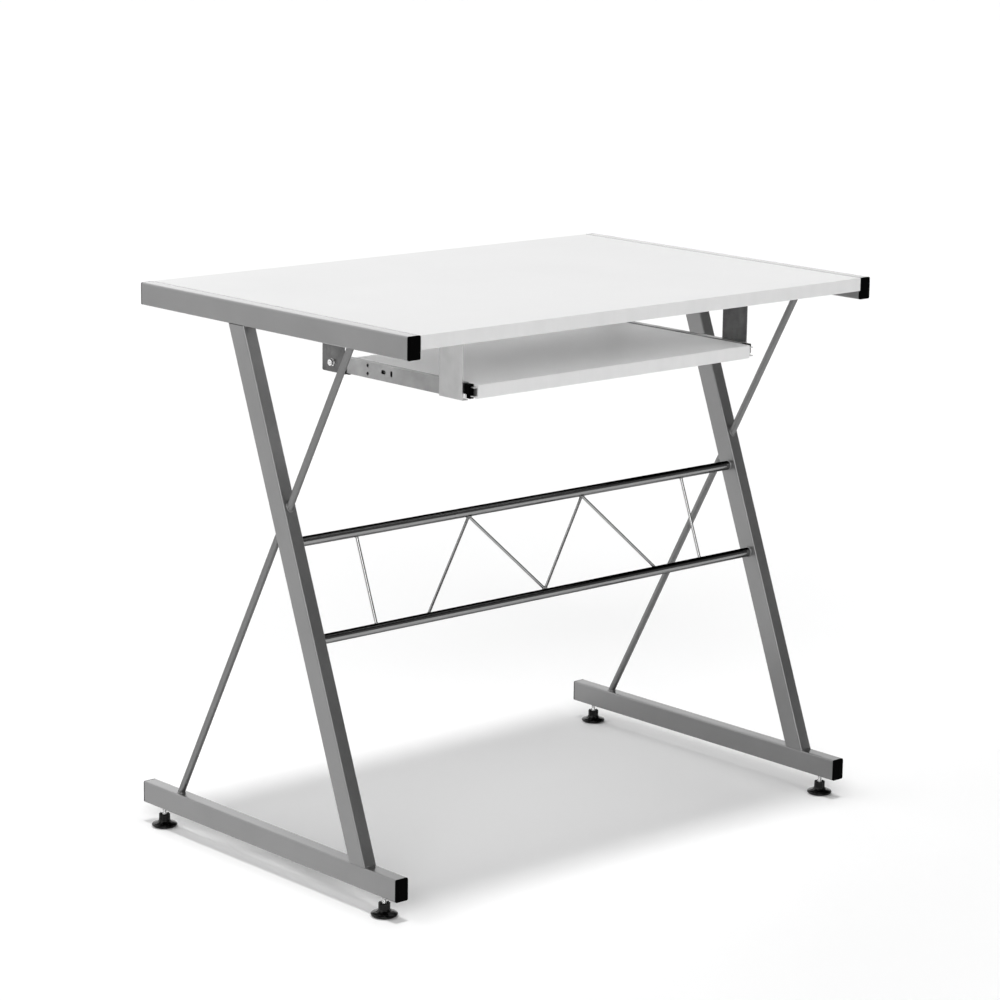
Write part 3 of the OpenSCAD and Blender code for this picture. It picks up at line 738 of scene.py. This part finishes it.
def screws(name, body, seats, head, shank):
    """Pan-head screws that replace a node.

    seats are (place, direction) pairs, and head and shank are each a (radius, length) pair.
    """
    shape = Shape()
    for at, inwards in seats:
        place = turn_onto(inwards, at)
        shape.add(cross_head(*head), place)
        rings = thread(shank[0], depth=0.25 * shank[0], pitch=1.4 * MM, length=shank[1], segments=14, steps=5)
        shape.add(rings, place)
    piece(f"{name}_pan_heads", body, "zinc_fastener", shape.verts, shape.faces, name, smooth_angle=45)


def upward(spots, plate):
    """Seats under a plate that lies against the desktop's underside."""
    seat_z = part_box("desktop_board")[0].z - plate
    return [(Vector((x, y, seat_z)), Vector((0, 0, 1))) for x, y in spots]


def bracket_spots():
    """Where the two screws of each bracket's flange are."""
    flange_mid, half_gap = 9 * MM, 14 * MM
    spots = []
    for side in SIDES:
        sign = -1 if side == "left" else 1
        for end in ENDS:
            low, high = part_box(f"{side}_{end}_bracket")
            outer = low.x if sign < 0 else high.x
            for step in (-1, 1):
                spots.append((outer - sign * flange_mid, (low.y + high.y) / 2 + step * half_gap))
    return spots


def tab_spots():
    """Where the screw of each angle tab is."""
    low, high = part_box("desktop_tabs")
    inset = 15 * MM
    return [(sign * (high.x - inset), y) for sign in (-1, 1) for y in (low.y + inset, high.y - inset)]


def tray_seats():
    """Seats on the webs of the inner slide members, three a side."""
    low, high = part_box("tray_screws")
    head_r = 3 * MM
    seats = []
    for side in SIDES:
        sign = -1 if side == "left" else 1
        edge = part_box(f"{side}_slide_inner")[1 if sign < 0 else 0].x
        for y in (low.y + head_r, (low.y + high.y) / 2, high.y - head_r):
            at = Vector((edge + sign * SLIDE_STEEL, y, (low.z + high.z) / 2))
            seats.append((at, Vector((-sign, 0, 0))))
    return seats


bolts = Shape()
for side in SIDES:
    slide_bolt(bolts, side)
piece("slide_bolts_threaded", "frame", "zinc_fastener", bolts.verts, bolts.faces, "slide_bolts",
      smooth_angle=40)

BOARD_HEAD = (4 * MM, 2.2 * MM)
screws("bracket_screws", "frame", upward(bracket_spots(), BRACKET_STEEL),
       head=BOARD_HEAD, shank=(2 * MM, 13.5 * MM))
screws("desktop_screws", "frame", upward(tab_spots(), TAB_STEEL), head=BOARD_HEAD, shank=(2 * MM, 14 * MM))
screws("tray_screws", "tray", tray_seats(), head=(3 * MM, 1.6 * MM), shank=(1.75 * MM, 15.2 * MM))


# ---- Studio ----

def floor():
    """A plain pale floor, far wider than the desk."""
    mesh = bpy.data.meshes.new("studio_floor")
    half = 60.0
    corners = [(-half, -half, 0), (half, -half, 0), (half, half, 0), (-half, half, 0)]
    mesh.from_pydata(corners, [], [(0, 1, 2, 3)])
    mesh.materials.append(floor_paint())
    made = bpy.data.objects.new("studio_floor", mesh)
    bpy.context.scene.collection.objects.link(made)


def sun(name, toward, power, angle, glossy):
    """A far light that shines along toward.

    angle is its apparent width in degrees, and glossy says whether reflections show it.
    """
    data = bpy.data.lights.new(name, "SUN")
    data.energy = power
    data.angle = math.radians(angle)
    light = bpy.data.objects.new(name, data)
    light.rotation_euler = Vector(toward).to_track_quat("-Z", "Y").to_euler()
    light.visible_glossy = glossy
    bpy.context.scene.collection.objects.link(light)


def world(front, back, zenith):
    """Studio light: a bright band behind the desk, a dimmer front and a dark ceiling.

    The band is low at the right and tall elsewhere. What the camera sees past the floor is plain white.
    """
    made = bpy.data.worlds.new("studio")
    made.use_nodes = True
    n = Nodes(made.node_tree)
    background = made.node_tree.nodes["Background"]
    place = n.add("ShaderNodeTexCoord")
    split = n.add("ShaderNodeSeparateXYZ")
    n.link(place.outputs["Generated"], split.inputs["Vector"])
    behind = n.spread(split.outputs["Y"], 0, 1, start=-0.1, stop=0.3)
    lift = n.spread(split.outputs["X"], 0.5, 0, start=0.38, stop=0.6)
    height = n.add("ShaderNodeMath", operation="SUBTRACT")
    n.link(split.outputs["Z"], height.inputs[0])
    n.link(lift, height.inputs[1])
    low_back = n.spread(height.outputs["Value"], back, zenith, start=0.25, stop=0.42)
    low_front = n.spread(split.outputs["Z"], front, zenith, start=0.5, stop=0.68)
    both = n.add("ShaderNodeMix", data_type="FLOAT")
    n.link(behind, both.inputs["Factor"])
    n.link(low_front, both.inputs["A"])
    n.link(low_back, both.inputs["B"])
    seen = n.add("ShaderNodeMix", data_type="FLOAT")
    n.link(n.add("ShaderNodeLightPath").outputs["Is Camera Ray"], seen.inputs["Factor"])
    n.link(both.outputs["Result"], seen.inputs["A"])
    seen.inputs["B"].default_value = 1
    n.link(seen.outputs["Result"], background.inputs["Color"])
    bpy.context.scene.world = made


def camera():
    """The photo's viewpoint, solved from the desk's straight edges."""
    data = bpy.data.cameras.new("photo_view")
    data.sensor_width = 36.0
    data.lens = 116.083
    data.clip_end = 100.0
    eye = bpy.data.objects.new("photo_view", data)
    eye.location = (-2.89693, -3.19932, 1.39191)
    eye.rotation_euler = [math.radians(a) for a in (77.6201, -0.8183, -41.8534)]
    bpy.context.scene.collection.objects.link(eye)
    bpy.context.scene.camera = eye


floor()
world(front=0.22, back=1.4, zenith=0.01)
camera()
sun("key_sun", toward=(0.03, 0.05, -1), power=1.55, angle=9, glossy=False)
sun("fill_sun", toward=(0.6, 0.6, -0.45), power=1.3, angle=40, glossy=True)
bpy.context.scene.view_settings.view_transform = "Standard"
